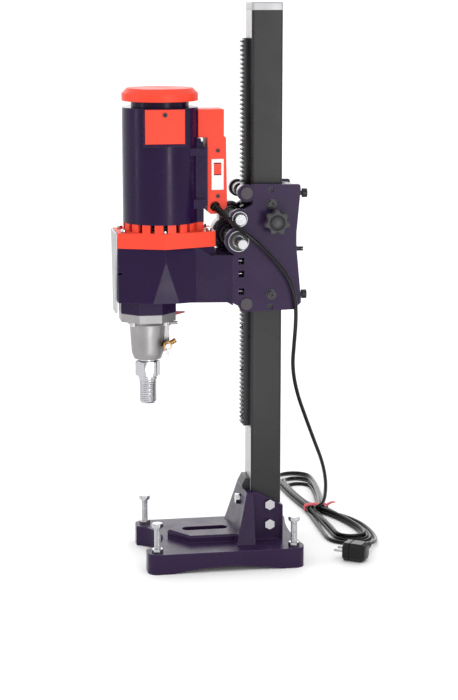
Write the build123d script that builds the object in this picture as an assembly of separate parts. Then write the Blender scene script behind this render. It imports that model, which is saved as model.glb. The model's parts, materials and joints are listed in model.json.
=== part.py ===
"""Core drill rig: a drill motor with gearbox, carried by a rack-and-pinion carriage on a column stand.

Millimetres, +Z up. Every piece is drawn with the column's centre line on X = Y = 0 and the floor at
Z = 0, then moved along Y when it is written, so that the row's origin is at the bottom centre of the
rig's box. +X is the operator's side, with the switch and the star knob. -Y is the drill's side.
"""
import os
from math import acos, ceil, cos, degrees, hypot, pi, radians, sin, sqrt, tan

from build123d import *

os.makedirs("parts", exist_ok=True)

# ---- driving dimensions -------------------------------------------------------------------------
Y_SHIFT = 99.0                   # from the column's centre line to the centre of the rig's box

COLUMN_W, COLUMN_D, COLUMN_H = 65.0, 55.0, 1000.0
COLUMN_WALL = 4.0
COLUMN_FRONT = -COLUMN_D / 2

PRESSURE = radians(25)           # pressure angle of every gear
ADDENDUM, DEDENDUM = 0.85, 1.1   # of the module: stub teeth
BACKLASH = 0.10                  # mm taken off each flank

RACK_MODULE = 2.5
RACK_BOTTOM, RACK_TOP, RACK_HALF_W = 242.0, 938.0, 9.0
RACK_PITCH_Y = COLUMN_FRONT - 12.6
PINION_TEETH = 11
PINION_Y, PINION_Z = RACK_PITCH_Y - RACK_MODULE * PINION_TEETH / 2, 586.4
FEED_MODULE, FEED_PINION_TEETH, FEED_GEAR_TEETH = 1.5, 16, 36
FEED_DISTANCE = FEED_MODULE * (FEED_PINION_TEETH + FEED_GEAR_TEETH) / 2
FEED_TILT = radians(87)          # from +Y up to the line between the two feed shafts
FEED_Y = PINION_Y + FEED_DISTANCE * cos(FEED_TILT)
FEED_Z = PINION_Z + FEED_DISTANCE * sin(FEED_TILT)
PINION_SHAFT_R, FEED_SHAFT_R = 9.2, 8.0
HANDLE_SEAT_R = 9.0

PLATE_IN, PLATE_OUT = 40.0, 50.0          # carriage cheeks, in X
CARRIAGE_TOP, CARRIAGE_BOTTOM = 687.0, 460.0
ROLLER_R = 12.0
ROLLER_Y = COLUMN_FRONT - ROLLER_R - 0.3
ROLLER_Z = {"upper": 671.0, "lower": 474.0}
ROLLER_PIN_R = 6.0
WEB_FRONT, WEB_BACK = -64.0, -54.0        # front web of the carriage, which carries the drill
ARM_BOLT_Z = (551.0, 528.0, 496.5)
ARM_BOLT_X, ARM_HALF_W = 40.0, 50.0
KNOB_Y, KNOB_Z, KNOB_R = 9.6, 620.7, 24.0

MOTOR_Y, SPINDLE_Y = -185.4, -210.6
MOTOR_R, MOTOR_WALL = 66.5, 4.0
MOTOR_BOTTOM, MOTOR_TOP = 619.0, 820.0
FLANGE_BOTTOM, FLANGE_TOP = 577.0, 604.0
GEARBOX_FRONT, GEARBOX_BOTTOM = -266.0, 458.0
HEX_HALF_W, HEX_END_W, HEX_BACK = 70.0, 40.0, -93.0

FIRST_MODULE, SECOND_MODULE = 1.25, 1.5   # armature to countershaft, countershaft to spindle
FIRST_TEETH, SECOND_TEETH = (9, 36), (12, 30)
FIRST_DISTANCE = FIRST_MODULE * sum(FIRST_TEETH) / 2
SECOND_DISTANCE = SECOND_MODULE * sum(SECOND_TEETH) / 2
AXIS_OFFSET = MOTOR_Y - SPINDLE_Y
COUNTER_Y = SPINDLE_Y + (SECOND_DISTANCE**2 - FIRST_DISTANCE**2 + AXIS_OFFSET**2) / (2 * AXIS_OFFSET)
COUNTER_X = sqrt(SECOND_DISTANCE**2 - (COUNTER_Y - SPINDLE_Y)**2)

THREAD_R, THREAD_LENGTH = 15.875, 44.0    # 1 1/4 inch core bit thread
SPINDLE_BOTTOM, SPINDLE_R = 291.0, 14.0

BASE_HALF_W, BASE_FRONT, BASE_BACK = 110.0, -225.4, 58.5
FOOT_R = 18.0
FOOT_X, FOOT_YS = BASE_HALF_W - FOOT_R, (BASE_FRONT + FOOT_R, BASE_BACK - FOOT_R)
DECK_Z, PLATFORM_Z = 37.0, 50.0
LEVEL_R = 6.0                    # M12 levelling bolts
SLOT_W, SLOT_FRONT, SLOT_BACK = 22.0, -150.0, -66.0

CORD_R = 3.5
# The free stretch of the cord: from the strain relief, down in front of the carriage's cheek, past
# its lower back corner and down behind the column to the hank that lies on the floor.
CORD_ROUTE = [
    (56.0, -72.6, 625.8), (74.0, -60.5, 614.0), (74.0, -28.1, 589.7), (68.5, 0.4, 561.5),
    (63.5, 30.7, 526.0), (60.5, 46.0, 489.4), (60.0, 48.5, 449.5), (54.0, 46.5, 403.0),
    (42.0, 45.5, 356.0), (25.0, 57.5, 305.0), (2.0, 79.0, 252.5), (-28.0, 103.0, 198.0),
    (-62.0, 126.0, 149.0), (-95.0, 140.5, 105.0), (-129.0, 148.0, 67.0), (-164.0, 152.0, 40.0),
    (-199.0, 152.0, 23.5),
]
TIE_X, TIE_Y = -232.0, 152.0
HANK_H = 18.0


# ---- shape helpers ------------------------------------------------------------------------------
def block(x0, x1, y0, y1, z0, z1):
    return Pos((x0 + x1) / 2, (y0 + y1) / 2, (z0 + z1) / 2) * Box(x1 - x0, y1 - y0, z1 - z0)


def rod_x(radius, x0, x1, y, z):
    return Pos((x0 + x1) / 2, y, z) * Rot(0, 90, 0) * Cylinder(radius, x1 - x0)


def rod_y(radius, y0, y1, x, z):
    return Pos(x, (y0 + y1) / 2, z) * Rot(90, 0, 0) * Cylinder(radius, y1 - y0)


def rod_z(radius, z0, z1, x, y):
    return Pos(x, y, (z0 + z1) / 2) * Cylinder(radius, z1 - z0)


def cone_z(bottom_r, top_r, z0, z1, x, y):
    return Pos(x, y, (z0 + z1) / 2) * Cone(bottom_r, top_r, z1 - z0)


def tube_z(outer, inner, z0, z1, x, y):
    return rod_z(outer, z0, z1, x, y) - rod_z(inner, z0 - 1, z1 + 1, x, y)


def hexagon(across_flats, length, turn=0):
    """A hexagonal prism standing on the origin."""
    return extrude(Rot(0, 0, turn) * RegularPolygon(across_flats / 2, 6, major_radius=False), length)


def face(points, radius=0.0):
    flat = Polygon(*points, align=None)
    return fillet(flat.vertices(), radius) if radius else flat


def prism_x(points, x0, x1, radius=0.0):
    """An outline of (Y, Z) points, swept from x0 to x1."""
    return extrude(Plane.YZ.offset(x0) * face(points, radius), x1 - x0, dir=(1, 0, 0))


def prism_y(points, y0, y1, radius=0.0):
    """An outline of (X, Z) points, swept from y0 to y1."""
    return extrude(Plane.XZ.offset(-y0) * face(points, radius), y1 - y0, dir=(0, 1, 0))


def prism_z(points, z0, z1, radius=0.0):
    """An outline of (X, Y) points, swept from z0 to z1."""
    return extrude(Plane.XY.offset(z0) * face(points, radius), z1 - z0, dir=(0, 0, 1))


def both_sides(solid):
    """The solid and its mirror image across the rig's middle plane."""
    return [solid, mirror(solid, Plane.YZ)]


def trim(solid, a, b, c, inside):
    """Cut the solid along the plane through three points and keep the side that holds a fourth."""
    a, b, c = Vector(*a), Vector(*b), Vector(*c)
    normal = (b - a).cross(c - a).normalized()
    if (Vector(*inside) - a).dot(normal) < 0:
        normal = -normal
    return split(solid, bisect_by=Plane(origin=a, z_dir=normal), keep=Keep.TOP)


def gear_outline(teeth, module, first_tooth=0.0, steps=4):
    """Points round an involute gear whose tooth 0 is centred on the angle first_tooth, in radians."""
    pitch_r = module * teeth / 2
    base_r = pitch_r * cos(PRESSURE)
    tip_r = pitch_r + ADDENDUM * module
    root_r = pitch_r - DEDENDUM * module
    half_at_base = pi / (2 * teeth) - BACKLASH / pitch_r + tan(PRESSURE) - PRESSURE
    flank = []
    if root_r < base_r:
        flank.append((root_r, half_at_base))
    start = max(root_r, base_r)
    for step in range(steps + 1):
        radius = start + (tip_r - start) * step / steps
        roll = acos(min(1.0, base_r / radius))
        flank.append((radius, half_at_base - tan(roll) + roll))
    points = []
    for tooth in range(teeth):
        middle = first_tooth + 2 * pi * tooth / teeth
        for radius, half in flank:
            points.append((radius * cos(middle - half), radius * sin(middle - half)))
        for radius, half in reversed(flank):
            points.append((radius * cos(middle + half), radius * sin(middle + half)))
    return points


def gear_z(teeth, module, x, y, z0, z1, first_tooth):
    outline = [(x + px, y + py) for px, py in gear_outline(teeth, module, first_tooth)]
    return prism_z(outline, z0, z1)


def gear_x(teeth, module, y, z, x0, x1, first_tooth):
    outline = [(y + py, z + pz) for py, pz in gear_outline(teeth, module, first_tooth)]
    return prism_x(outline, x0, x1)


def save(name, *pieces):
    """Write one sub-part, moved into the row's frame."""
    solids = [solid for piece in pieces for solid in piece.solids()]
    shape = solids[0] if len(solids) == 1 else Compound(children=solids)
    export_step(Pos(0, Y_SHIFT, 0) * shape, f"parts/{name}.step")


# ---- stand: base, column, rack ------------------------------------------------------------------
def foot_centres():
    return [(side * FOOT_X, y) for y in FOOT_YS for side in (-1, 1)]


BRACKET_TOP, BRACKET_BACK_TOP = 126.0, 100.0
CHEEK_IN, CHEEK_OUT = COLUMN_W / 2 + 0.05, 46.0
BRACKET_FRONT_LOW, BRACKET_FRONT_HIGH = -62.0, -32.0
COLUMN_BOLT_Z = (103.0, 66.0)
SPOTFACE_Y = -42.5               # seat of the front bolt's washer on the leaning wall


def base_outline():
    """Plan of the deck: straight sides, rounded feet, and a hollowed front and back edge."""
    body = block(-BASE_HALF_W, BASE_HALF_W, BASE_FRONT, BASE_BACK, 0, DECK_Z)
    body = fillet(body.edges().filter_by(Axis.Z), FOOT_R)
    front_r, back_r = 88.0, 420.0
    body -= rod_z(front_r, -1, DECK_Z + 1, 0, -186.0 - front_r)
    body -= rod_z(back_r, -1, DECK_Z + 1, 0, 50.0 + back_r)
    return body


def make_base():
    body = base_outline()
    hollow = block(-98, 98, -178, 42, -1, DECK_Z - 9)
    for x, y in foot_centres():
        hollow -= rod_z(FOOT_R + 4, -2, DECK_Z, x, y)
    body -= fillet(hollow.edges().filter_by(Axis.Z), 3)
    # The skirts are arched, so that the rig stands on its four feet alone.
    middle_y = (FOOT_YS[0] + FOOT_YS[1]) / 2
    side_r, side_rise, end_r, end_rise = 505.0, 10.0, 310.0, 8.0
    body -= rod_x(side_r, -130, 130, middle_y, side_rise - side_r)
    body -= rod_y(end_r, -240, 70, 0, end_rise - end_r)
    # Ribs under the deck, on both sides of the anchor slot and across it.
    for x in (-30.0, 30.0):
        body += block(x - 4, x + 4, -180, 45, 14, DECK_Z - 5)
    body += block(-100, 100, -60, -52, 14, DECK_Z - 5)
    # A raised platform with a pointed prow.
    body += prism_z([(-49, -56), (-49, -142), (0, -177), (49, -142), (49, -56)], DECK_Z - 1, DECK_Z + 6)
    top = prism_z([(-49, -56), (-49, -142), (0, -177), (49, -142), (49, -56)], DECK_Z + 6, PLATFORM_Z)
    body += chamfer(top.faces().sort_by(Axis.Z)[-1].edges(), 3.0)
    # The column's bracket: two cheeks, a leaning front wall and a buttress on each side.
    cheek = [(BRACKET_FRONT_LOW + 4, DECK_Z - 4), (BRACKET_FRONT_HIGH, BRACKET_TOP),
             (BRACKET_FRONT_HIGH + 12, BRACKET_TOP), (29, BRACKET_BACK_TOP), (29, DECK_Z - 4)]
    for solid in both_sides(prism_x(cheek, CHEEK_IN, CHEEK_OUT)):
        body += solid
    wall = [(BRACKET_FRONT_LOW, DECK_Z - 4), (BRACKET_FRONT_HIGH - 6, BRACKET_TOP),
            (BRACKET_FRONT_HIGH + 4, BRACKET_TOP), (BRACKET_FRONT_HIGH + 4, DECK_Z - 4)]
    body += prism_x(wall, -CHEEK_OUT, CHEEK_OUT)
    buttress = prism_y([(CHEEK_OUT - 1, DECK_Z - 4), (CHEEK_OUT - 1, BRACKET_TOP),
                        (CHEEK_OUT + 3, BRACKET_TOP), (78, DECK_Z - 4)], BRACKET_FRONT_LOW, -27)
    buttress &= prism_x(wall[:2] + [(-27, BRACKET_TOP), (-27, DECK_Z - 4)], 0, 100)
    for solid in both_sides(buttress):
        body += solid
    body += block(-CHEEK_IN, CHEEK_IN, -40, 29, 14, DECK_Z)
    # Openings: levelling bolts, anchor slot, and the column's through bolts.
    for x, y in foot_centres():
        body -= rod_z(LEVEL_R + 0.05, -1, DECK_Z + 10, x, y)
    half = SLOT_W / 2
    slot = block(-half, half, SLOT_FRONT + half, SLOT_BACK - half, -1, 80)
    slot += rod_z(half, -1, 80, 0, SLOT_FRONT + half) + rod_z(half, -1, 80, 0, SLOT_BACK - half)
    body -= slot
    for z in COLUMN_BOLT_Z:
        body -= rod_x(5.05, -60, 60, 4, z)
    body -= rod_y(5.05, -70, -20, 0, COLUMN_BOLT_Z[0])
    body -= rod_y(10.0, -70, SPOTFACE_Y, 0, COLUMN_BOLT_Z[0])
    return body


def make_column():
    tube = block(-COLUMN_W / 2, COLUMN_W / 2, COLUMN_FRONT, COLUMN_D / 2, DECK_Z, COLUMN_H - 14)
    tube = fillet(tube.edges().filter_by(Axis.Z), 4.0)
    inner = block(-COLUMN_W / 2 + COLUMN_WALL, COLUMN_W / 2 - COLUMN_WALL,
                  COLUMN_FRONT + COLUMN_WALL, COLUMN_D / 2 - COLUMN_WALL, 0, COLUMN_H)
    tube -= fillet(inner.edges().filter_by(Axis.Z), 2.0)
    for z in COLUMN_BOLT_Z:
        tube -= rod_x(5.05, -60, 60, 4, z)
    tube -= rod_y(5.05, -40, -15, 0, 103)
    for z in rack_screw_heights():
        tube -= rod_y(3.0, -40, -15, 0, z)
    return tube


def make_column_cap():
    top = block(-COLUMN_W / 2, COLUMN_W / 2, COLUMN_FRONT, COLUMN_D / 2, COLUMN_H - 14, COLUMN_H)
    top = fillet(top.edges().filter_by(Axis.Z), 4.0)
    top = chamfer(top.faces().sort_by(Axis.Z)[-1].edges(), 1.5)
    plug = block(-27, 27, -22, 22, COLUMN_H - 34, COLUMN_H - 13)
    return top + plug - block(-24, 24, -19, 19, COLUMN_H - 35, COLUMN_H - 17)


SCREW_SEAT_Y = COLUMN_FRONT - 5.0        # the heads sit below the roots of the rack's teeth


def rack_screw_heights():
    return [RACK_BOTTOM + 20.0 + 82.0 * k for k in range(9)]


def make_rack():
    """A straight rack. A tooth faces the pinion's middle while the carriage is at rest."""
    pitch = pi * RACK_MODULE
    tip_y = RACK_PITCH_Y - ADDENDUM * RACK_MODULE
    root_y = RACK_PITCH_Y + DEDENDUM * RACK_MODULE
    half = pitch / 4 - BACKLASH
    tip_half = half - ADDENDUM * RACK_MODULE * tan(PRESSURE)
    root_half = half + DEDENDUM * RACK_MODULE * tan(PRESSURE)
    points = [(COLUMN_FRONT, RACK_TOP), (COLUMN_FRONT, RACK_BOTTOM), (root_y, RACK_BOTTOM)]
    first = ceil((RACK_BOTTOM + pitch / 2 - PINION_Z) / pitch)
    last = int((RACK_TOP - pitch / 2 - PINION_Z) / pitch)
    for tooth in range(first, last + 1):
        z = PINION_Z + tooth * pitch
        points += [(root_y, z - root_half), (tip_y, z - tip_half), (tip_y, z + tip_half),
                   (root_y, z + root_half)]
    points.append((root_y, RACK_TOP))
    rack = prism_x(points, -RACK_HALF_W, RACK_HALF_W)
    for z in rack_screw_heights():
        rack -= rod_y(3.0, -50, -20, 0, z) + rod_y(5.2, -50, SCREW_SEAT_Y, 0, z)
    return rack


def make_rack_screws():
    return [rod_y(2.95, SCREW_SEAT_Y - 1, -21, 0, z) + rod_y(5.1, SCREW_SEAT_Y - 4.4, SCREW_SEAT_Y, 0, z)
            for z in rack_screw_heights()]


def make_column_bolts():
    """Two cross bolts with nuts, and one bolt through the bracket's front wall."""
    bolts = []
    for z in COLUMN_BOLT_Z:
        bolt = rod_x(5.0, -52, 52, 4, z)
        bolt += Pos(CHEEK_OUT, 4, z) * Rot(0, 90, 0) * hexagon(17, 6.5)
        bolt += Pos(-CHEEK_OUT - 8, 4, z) * Rot(0, 90, 0) * hexagon(17, 8)
        bolts.append(bolt)
    washer_front = SPOTFACE_Y - 2
    front = rod_y(5.0, washer_front, -23.6, 0, COLUMN_BOLT_Z[0])
    front += rod_y(9.5, washer_front, SPOTFACE_Y, 0, COLUMN_BOLT_Z[0])
    front += Pos(0, washer_front, COLUMN_BOLT_Z[0]) * Rot(90, 0, 0) * hexagon(17, 6.5)
    bolts.append(front)
    return bolts


def make_column_wedge():
    """The clamping wedge that fills the gap between the bracket's front wall and the column."""
    wedge = [(COLUMN_FRONT - 0.1, BRACKET_TOP), (COLUMN_FRONT - 0.1, 147), (-36, 147), (-43, 133),
             (-41, BRACKET_TOP)]
    return prism_x(wedge, -22, 22)


def make_levelling_bolt(x, y):
    bolt = rod_z(LEVEL_R, 3, 84, x, y)
    bolt = chamfer(bolt.faces().sort_by(Axis.Z)[0].edges(), 1.5)
    return bolt + Pos(x, y, 83.5) * hexagon(18, 7.5, turn=15)


def make_level_nuts():
    nuts = []
    for x, y in foot_centres():
        nut = Pos(x, y, DECK_Z) * hexagon(18, 7.0, turn=15)
        nuts.append(nut - rod_z(LEVEL_R + 0.05, 0, 60, x, y))
    return nuts


# ---- carriage -----------------------------------------------------------------------------------
def carriage_plate():
    """One cheek, as an outline in Y and Z, with lobes round the rollers and the feed shafts."""
    core = [(-30, CARRIAGE_TOP), (55, CARRIAGE_TOP - 2), (57, 676), (50, 600), (50, 575), (58.8, 482),
            (58.8, 474), (46, CARRIAGE_BOTTOM + 2), (-38, CARRIAGE_BOTTOM), (-52, 470),
            (WEB_FRONT, 476), (WEB_FRONT, 560), (-46, 572), (-46, 640), (-28, 652)]
    plate = prism_x(core, PLATE_IN, PLATE_OUT, 1.8)
    lobes = [(15.5, ROLLER_Y, ROLLER_Z["upper"]), (14.5, ROLLER_Y, ROLLER_Z["lower"]),
             (24.0, PINION_Y, PINION_Z), (18.0, FEED_Y, FEED_Z)]
    for radius, y, z in lobes:
        plate += rod_x(radius, PLATE_IN, PLATE_OUT, y, z)
    plate += block(PLATE_IN, PLATE_OUT, PINION_Y + 4, 0, PINION_Z - 24, FEED_Z + 16)
    return plate


PAD_Z = {"upper": 664.0, "lower": 479.0}
SIDE_SCREW_Z = {"upper": (677.0, 651.5), "lower": (468.5, 490.0)}   # set screw, bolt
BACK_SCREW_Z = (667.6, 568.0, 486.0)
BACK_SCREW_X = 29.0


def make_carriage_casting():
    body = Part() + both_sides(carriage_plate())
    body += block(-PLATE_IN - 1, PLATE_IN + 1, WEB_FRONT, WEB_BACK, 476, 558)
    body += block(-PLATE_IN - 1, PLATE_IN + 1, 38, 49, 466, 682)
    # Bores for the two feed shafts' bearings and the roller pins.
    body -= rod_x(19.0, -60, 60, PINION_Y, PINION_Z)
    body -= rod_x(14.0, -60, 60, FEED_Y, FEED_Z)
    for z in ROLLER_Z.values():
        body -= rod_x(ROLLER_PIN_R, -60, 60, ROLLER_Y, z)
    body -= rod_x(5.05, 0, 60, KNOB_Y, KNOB_Z)
    # Screw holes, and pockets on the cheeks' outer faces for the bolts that hold the drill.
    for side in (-1, 1):
        for set_z, bolt_z in SIDE_SCREW_Z.values():
            body -= rod_x(5.0, min(0, side * 60), max(0, side * 60), 4, set_z)
            body -= rod_x(4.0, min(0, side * 60), max(0, side * 60), 5, bolt_z)
        for z in BACK_SCREW_Z:
            body -= rod_y(4.0, 30, 60, side * BACK_SCREW_X, z)
        for z in ARM_BOLT_Z:
            x0, x1 = sorted((side * 33.0, side * 52.0))
            body -= block(x0, x1, WEB_BACK, -43.5, z - 6.0, z + 6.0)
            body -= rod_y(4.05, -70, -50, side * ARM_BOLT_X, z)
    return body


def make_roller_pins():
    pins = []
    for z in ROLLER_Z.values():
        pin = rod_x(ROLLER_PIN_R, 12, PLATE_OUT + 0.5, ROLLER_Y, z)
        pin += rod_x(11.0, PLATE_OUT, PLATE_OUT + 2.5, ROLLER_Y, z)
        pins += both_sides(pin)
    return pins


def make_rollers(z):
    """The two stub rollers at one height, one on each side of the rack."""
    roller = rod_x(ROLLER_R, 14, 38, ROLLER_Y, z)
    roller = chamfer(roller.edges().filter_by(GeomType.CIRCLE), 0.8)
    return both_sides(roller - rod_x(ROLLER_PIN_R + 0.05, 0, 60, ROLLER_Y, z))


def make_guide_pads():
    pads = []
    for z in PAD_Z.values():
        pads += both_sides(block(COLUMN_W / 2 + 0.35, PLATE_IN, -16, 24, z - 17, z + 17))
    pads.append(block(-31.5, 31.5, COLUMN_D / 2 + 0.35, 33.5, 470, 680))
    return pads


def make_guide_screws():
    """Set screws and washered bolts in the cheeks, and thumb screws in the back bridge."""
    screws = []
    for set_z, bolt_z in SIDE_SCREW_Z.values():
        screws += both_sides(rod_x(4.95, PLATE_IN, PLATE_OUT - 3, 4, set_z)
                             - Pos(PLATE_OUT - 6, 4, set_z) * Rot(0, 90, 0) * hexagon(4, 4))
        bolt = rod_x(3.95, PLATE_IN, PLATE_OUT + 2, 5, bolt_z)
        bolt += rod_x(9.0, PLATE_OUT, PLATE_OUT + 1.6, 5, bolt_z)
        bolt += rod_x(6.5, PLATE_OUT + 1.6, PLATE_OUT + 8, 5, bolt_z)
        bolt -= Pos(PLATE_OUT + 4, 5, bolt_z) * Rot(0, 90, 0) * hexagon(5, 5)
        screws += both_sides(bolt)
    for z in BACK_SCREW_Z:
        screw = rod_y(3.95, 33.5, 66, BACK_SCREW_X, z)
        if z == BACK_SCREW_Z[1]:
            screw -= block(BACK_SCREW_X - 5, BACK_SCREW_X + 5, 63, 67, z - 0.6, z + 0.6)
        else:
            screw += rod_y(8.0, 64, 72, BACK_SCREW_X, z)
        nut = Pos(BACK_SCREW_X, 49, z) * Rot(-90, 0, 0) * hexagon(13, 5)
        screws += both_sides(screw + nut)
    return screws


def make_shaft_bearings():
    """Ball bearings of the two feed shafts, as plain rings, pressed into both cheeks."""
    rings = []
    for outer, inner, y, z in ((19.0, PINION_SHAFT_R + 0.05, PINION_Y, PINION_Z),
                               (14.0, FEED_SHAFT_R + 0.05, FEED_Y, FEED_Z)):
        ring = rod_x(outer, PLATE_IN, PLATE_OUT + 1.5, y, z) - rod_x(inner, 0, 60, y, z)
        ring -= rod_x(outer - 3, PLATE_OUT, 60, y, z) - rod_x(inner + 3, 0, 60, y, z)
        rings += both_sides(ring)
    return rings


GEAR_CASE_OUT = -76.0


def make_gear_case():
    """The cover over the feed's reduction gears, on the far cheek."""
    case = rod_x(33.0, GEAR_CASE_OUT, -PLATE_OUT, PINION_Y, PINION_Z)
    case += rod_x(21.0, GEAR_CASE_OUT, -PLATE_OUT, FEED_Y, FEED_Z)
    case += block(GEAR_CASE_OUT, -PLATE_OUT, FEED_Y - 21, FEED_Y + 21, PINION_Z, FEED_Z)
    inner = rod_x(30.0, GEAR_CASE_OUT + 4, -40, PINION_Y, PINION_Z)
    inner += rod_x(18.0, GEAR_CASE_OUT + 4, -40, FEED_Y, FEED_Z)
    inner += block(GEAR_CASE_OUT + 4, -40, FEED_Y - 17, FEED_Y + 17, PINION_Z, FEED_Z)
    case -= inner
    case += rod_x(14.0, GEAR_CASE_OUT - 3, GEAR_CASE_OUT + 5, PINION_Y, PINION_Z)
    return case - rod_x(PINION_SHAFT_R + 0.05, -90, -40, PINION_Y, PINION_Z)


def make_pinion_shaft():
    shaft = rod_x(PINION_SHAFT_R, -84, 57, PINION_Y, PINION_Z)
    shaft += rod_x(HANDLE_SEAT_R, 56, 95, PINION_Y, PINION_Z)
    shaft = chamfer(shaft.edges().filter_by(GeomType.CIRCLE).sort_by(Axis.X)[-1], 1.0)
    # The pinion has a gap towards the rack, and the feed gear a tooth towards the upper shaft.
    shaft += gear_x(PINION_TEETH, RACK_MODULE, PINION_Y, PINION_Z, -11, 11, pi / PINION_TEETH)
    gear = gear_x(FEED_GEAR_TEETH, FEED_MODULE, PINION_Y, PINION_Z, -68, -58, FEED_TILT)
    return shaft + gear + rod_x(13, -58, -52.5, PINION_Y, PINION_Z)


def make_feed_shaft():
    shaft = rod_x(FEED_SHAFT_R, -70, 60, FEED_Y, FEED_Z) + rod_x(9.5, 52.5, 62, FEED_Y, FEED_Z)
    away = FEED_TILT + pi
    gear = gear_x(FEED_PINION_TEETH, FEED_MODULE, FEED_Y, FEED_Z, -68, -58, away + pi / FEED_PINION_TEETH)
    return shaft + gear


def make_lock_knob():
    knob = rod_x(KNOB_R - 5.0, 64, 82, KNOB_Y, KNOB_Z)
    lobes = 7
    for lobe in range(lobes):
        angle = radians(90 + 360 / lobes * lobe)
        y, z = KNOB_Y + (KNOB_R - 6) * cos(angle), KNOB_Z + (KNOB_R - 6) * sin(angle)
        knob += rod_x(6.0, 64, 82, y, z)
    knob += rod_x(11.0, 60, 85, KNOB_Y, KNOB_Z)
    return knob - rod_x(4.9, 50, 78, KNOB_Y, KNOB_Z)


def make_lock_stud():
    return rod_x(4.9, COLUMN_W / 2 + 0.4, 78, KNOB_Y, KNOB_Z)


# ---- gearbox ------------------------------------------------------------------------------------
def hex_plan(shrink=0.0):
    """Plan of the motor flange: a stretched hexagon with one corner on each side of the motor."""
    wide, narrow = HEX_HALF_W - shrink, HEX_END_W - shrink / 2
    front, back = GEARBOX_FRONT, HEX_BACK - shrink
    return [(-narrow, front), (narrow, front), (wide, MOTOR_Y), (narrow, back), (-narrow, back),
            (-wide, MOTOR_Y)]


def octagon(across_flats, z0, z1):
    shape = Rot(0, 0, 22.5) * RegularPolygon(across_flats / 2, 8, major_radius=False)
    return extrude(Pos(0, SPINDLE_Y, z0) * shape, z1 - z0)


BODY_BOTTOM = 480.0
FACET_DROP = 22.0                # from the flange down to the tip of the triangular side facet
SNOUT_AF = 98.0


def gearbox_body():
    """The hexagon under the flange runs down into flat sides, which leaves a triangle on each."""
    body = prism_z(hex_plan(2.0), BODY_BOTTOM, FLANGE_BOTTOM)
    wide = HEX_HALF_W - 2.0
    apex = (wide, MOTOR_Y, FLANGE_BOTTOM - FACET_DROP)
    front_low, back_low = (60.0, -221.0, BODY_BOTTOM), (60.0, -124.0, BODY_BOTTOM)
    front_edge = (HEX_END_W - 1, GEARBOX_FRONT, FLANGE_BOTTOM)
    back_edge = (HEX_END_W - 1, HEX_BACK - 2, FLANGE_BOTTOM)
    inside = (0, MOTOR_Y, 530)
    for side in (-1, 1):
        def flip(point):
            return (side * point[0], point[1], point[2])
        body = trim(body, flip(apex), flip(front_low), flip(back_low), inside)
        body = trim(body, flip(apex), flip(front_low), flip(front_edge), inside)
        body = trim(body, flip(apex), flip(back_low), flip(back_edge), inside)
    return body


def make_gearbox():
    body = gearbox_body()
    body += octagon(SNOUT_AF, GEARBOX_BOTTOM, BODY_BOTTOM + 20)
    # The arm that carries the drill on the carriage's front web.
    arm = [(-175, BODY_BOTTOM), (-74, 478), (WEB_FRONT, 472), (WEB_FRONT, 562), (-104, 562),
           (-125, 577), (-175, 577)]
    body += prism_x(arm, -ARM_HALF_W, ARM_HALF_W)
    # Gear room, with a bridge across it that holds the spindle's upper bearing.
    room = prism_z([(-32, -256), (32, -256), (52, -200), (52, -165), (28, -150), (-52, -165),
                    (-52, -200)], BODY_BOTTOM + 6, FLANGE_BOTTOM + 1)
    room -= block(-60, 60, -260, -140, 527, 541)
    body -= room
    body -= block(-32, 32, -128, WEB_FRONT - 12, 486, 550)
    body -= rod_z(16.0, 526, 542, 0, SPINDLE_Y)
    body -= rod_z(12.0, 526, 542, COUNTER_X, COUNTER_Y)
    body -= rod_z(9.0, BODY_BOTTOM - 1, BODY_BOTTOM + 8, COUNTER_X, COUNTER_Y)
    body -= rod_z(29.0, GEARBOX_BOTTOM - 1, BODY_BOTTOM + 8, 0, SPINDLE_Y)
    for side in (-1, 1):
        for z in ARM_BOLT_Z:
            body -= rod_y(4.05, -84, -60, side * ARM_BOLT_X, z)
    for x, y in flange_bolt_places():
        body -= rod_z(3.05, FLANGE_BOTTOM - 22, FLANGE_BOTTOM + 1, x, y)
    for x, y in snout_bolt_places():
        body -= rod_z(3.05, GEARBOX_BOTTOM - 1, GEARBOX_BOTTOM + 13, x, y)
    # A cast notch low on the front corners.
    for solid in both_sides(block(26, 60, -270, -259, 530, 534)):
        body -= solid
    return body


def flange_bolt_places():
    return [(-30, -255), (30, -255), (-60, -186), (60, -186), (-31, -104), (31, -104)]


def snout_bolt_places():
    reach = SNOUT_AF / 2 - 8
    angles = [radians(45 + 90 * corner) for corner in range(4)]
    return [(reach * cos(angle), SPINDLE_Y + reach * sin(angle)) for angle in angles]


def make_front_cover():
    outline = [(-38, 603), (38, 603), (20, 459), (-20, 459)]
    return prism_y(outline, GEARBOX_FRONT - 4, GEARBOX_FRONT, 2.0)


def make_arm_bolts():
    bolts = []
    for z in ARM_BOLT_Z:
        bolt = rod_y(4.0, -83, WEB_BACK, ARM_BOLT_X, z)
        bolt += Pos(ARM_BOLT_X, -46.5, z) * Rot(90, 0, 0) * hexagon(10, 7.5)
        bolts += both_sides(bolt)
    return bolts


SNOUT_PLATE_BOTTOM, SNOUT_BOTTOM = 443.0, 373.0
SNOUT_BOLT_R, SNOUT_HEAD_R, SNOUT_HEAD_H = 3.0, 5.0, 7.0
VALVE_Y, VALVE_Z = -178.0, 399.0
STOP_BOLT_Z = 435.0


def make_gearbox_bolts():
    bolts = []
    for x, y in flange_bolt_places():
        bolt = rod_z(3.0, FLANGE_BOTTOM - 20, FLANGE_TOP, x, y)
        bolts.append(bolt + rod_z(5.0, FLANGE_TOP, FLANGE_TOP + 5, x, y))
    for x, y in snout_bolt_places():
        bolt = rod_z(SNOUT_BOLT_R, SNOUT_PLATE_BOTTOM, GEARBOX_BOTTOM + 12, x, y)
        bolts.append(bolt + rod_z(SNOUT_HEAD_R, SNOUT_PLATE_BOTTOM - SNOUT_HEAD_H, SNOUT_PLATE_BOTTOM, x, y))
    return bolts


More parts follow.
